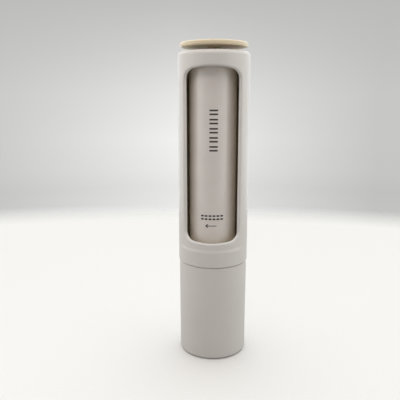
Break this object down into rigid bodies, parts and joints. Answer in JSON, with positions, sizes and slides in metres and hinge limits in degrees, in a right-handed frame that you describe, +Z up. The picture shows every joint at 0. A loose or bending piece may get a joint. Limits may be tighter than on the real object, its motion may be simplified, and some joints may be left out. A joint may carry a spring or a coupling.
{
  "type": "lint roller",
  "caption": "Retractable pocket lint roller: round handle, windowed sleeve, and a tape roll on a carriage that slides up out of the top by a flat pull disc.",
  "frame": {"origin": "centre of the base's flat underside, which is the bottom of the bounding box", "axes": "+Z runs up the common axis of handle, sleeve and roll; the window faces -Y; +X is to the right of someone facing the window"},
  "size_m": [0.041, 0.041, 0.183],
  "materials": {
    "shell_plastic": "satin white moulded plastic",
    "cream_plastic": "satin cream moulded plastic",
    "nylon": "plain off-white nylon",
    "dark_rubber": "dull black rubber",
    "screw_steel": "bright zinc-plated steel",
    "core_board": "brown spiral-wound board",
    "tape_paper": "white wound adhesive paper",
    "printed_paper": null
  },
  "bodies": {
    "housing": {"base_cap": "shell_plastic", "handle_shell": "shell_plastic", "coupling_ring": "shell_plastic", "stop_bumper": "dark_rubber", "window_sleeve": "shell_plastic", "guide_liner": "cream_plastic", "mouth_ring": "cream_plastic"},
    "carriage": {"guide_piston": "cream_plastic", "piston_o_ring": "dark_rubber", "spindle": "cream_plastic", "piston_screw": "screw_steel", "screw_washer": "screw_steel", "lower_thrust_washer": "nylon", "upper_thrust_washer": "nylon", "disc_stem": "cream_plastic", "pull_disc": "cream_plastic"},
    "roll": {"lower_hub": "nylon", "upper_hub": "nylon", "paper_core": "core_board", "adhesive_sheets": "tape_paper", "outer_sheet": "printed_paper"}
  },
  "joints": [
    {"name": "carriage_slide", "type": "slide", "parent": "housing", "child": "carriage", "axis": [0, 0, 1], "range_m": [0, 0.105]},
    {"name": "roll_spin", "type": "hinge", "parent": "carriage", "child": "roll", "pos_m": [0, 0, 0.12], "axis": [0, 0, 1], "continuous": true}
  ]
}
